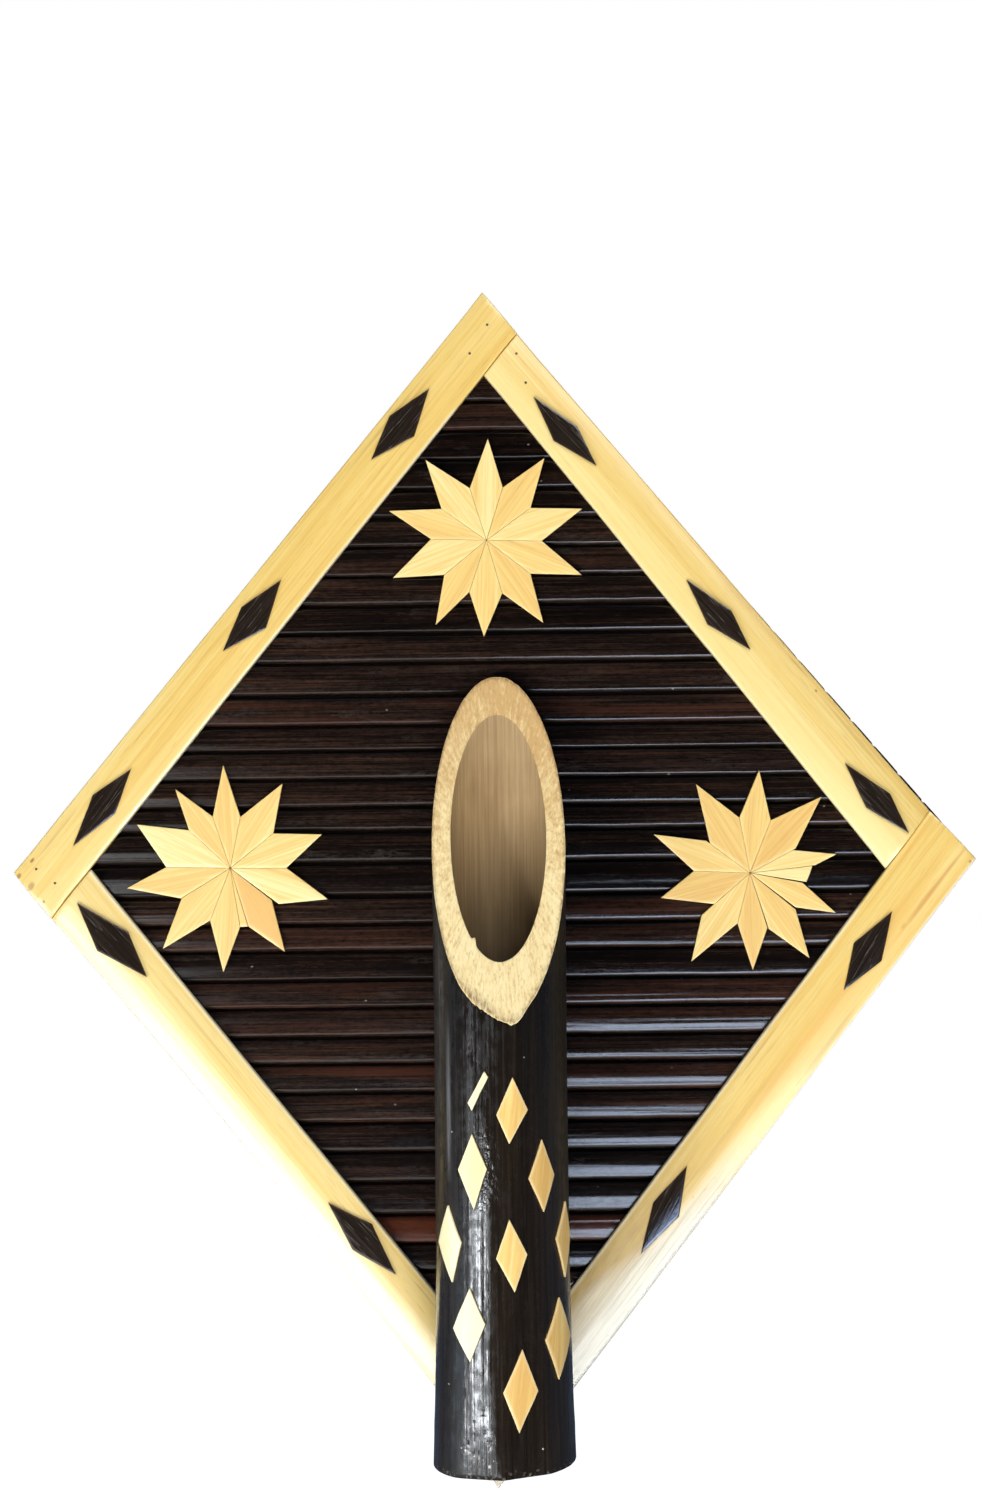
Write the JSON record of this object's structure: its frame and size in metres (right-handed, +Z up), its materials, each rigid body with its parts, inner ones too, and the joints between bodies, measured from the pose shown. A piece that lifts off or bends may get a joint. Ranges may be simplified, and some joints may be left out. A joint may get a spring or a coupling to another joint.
{
  "type": "wall vase",
  "caption": "Wall-hung bamboo vase: an obliquely cut dark bamboo tube on a diamond panel of stained slats, framed by pale split-bamboo rails with lozenge and star inlays.",
  "frame": {"origin": "on the wall plane, where the wall nail bears under the top of the hanging ring", "axes": "+Z up, front of the panel faces -Y, +Y into the wall, +X to the right seen from the front"},
  "size_m": [0.4128, 0.0808, 0.5131],
  "materials": {
    "black_culm": "black-stained bamboo skin under gloss lacquer; cut faces left pale",
    "stained_slat": "dark brown stained bamboo, lacquered",
    "pale_rail": "scraped pale bamboo, clear lacquer",
    "pale_inlay": "pale bamboo strip, satin",
    "dark_inlay": "black-stained bamboo skin, semi-gloss",
    "stained_board": "thin plywood, dark stain",
    "plain_bamboo": "raw split bamboo",
    "hanger_brass": "brass-plated steel, slightly dull",
    "steel": "zinc-plated steel"
  },
  "bodies": {
    "vase": {"back_board": "stained_board", "batten_left": "plain_bamboo", "batten_right": "plain_bamboo", "hanger_screw": "steel", "hanger_strap": "hanger_brass", "rail_brads": "steel", "rail_diamonds": "dark_inlay", "rail_lower_left": "pale_rail", "rail_lower_right": "pale_rail", "rail_upper_left": "pale_rail", "rail_upper_right": "pale_rail", "slat_01": "stained_slat", "slat_02": "stained_slat", "slat_03": "stained_slat", "slat_04": "stained_slat", "slat_05": "stained_slat", "slat_06": "stained_slat", "slat_07": "stained_slat", "slat_08": "stained_slat", "slat_09": "stained_slat", "slat_10": "stained_slat", "slat_11": "stained_slat", "slat_12": "stained_slat", "slat_13": "stained_slat", "slat_14": "stained_slat", "slat_15": "stained_slat", "slat_16": "stained_slat", "slat_17": "stained_slat", "slat_18": "stained_slat", "slat_19": "stained_slat", "slat_20": "stained_slat", "slat_21": "stained_slat", "slat_22": "stained_slat", "slat_23": "stained_slat", "slat_24": "stained_slat", "slat_25": "stained_slat", "slat_26": "stained_slat", "slat_27": "stained_slat", "slat_28": "stained_slat", "slat_29": "stained_slat", "slat_30": "stained_slat", "slat_31": "stained_slat", "slat_32": "stained_slat", "slat_33": "stained_slat", "slat_34": "stained_slat", "slat_35": "stained_slat", "slat_36": "stained_slat", "slat_37": "stained_slat", "slat_38": "stained_slat", "slat_39": "stained_slat", "star_left": "pale_inlay", "star_right": "pale_inlay", "star_top": "pale_inlay", "tube_diamonds": "pale_inlay", "tube_packing": "plain_bamboo", "tube_screw_washers": "steel", "tube_screws": "steel", "vase_tube": "black_culm"},
    "ring": {"hanger_ring": "hanger_brass"}
  },
  "joints": [
    {"name": "ring_swing", "type": "hinge", "parent": "vase", "child": "ring", "pos_m": [0, -0.0068, -0.018], "axis": [-1, 0, 0], "range_deg": [0, 180]}
  ]
}
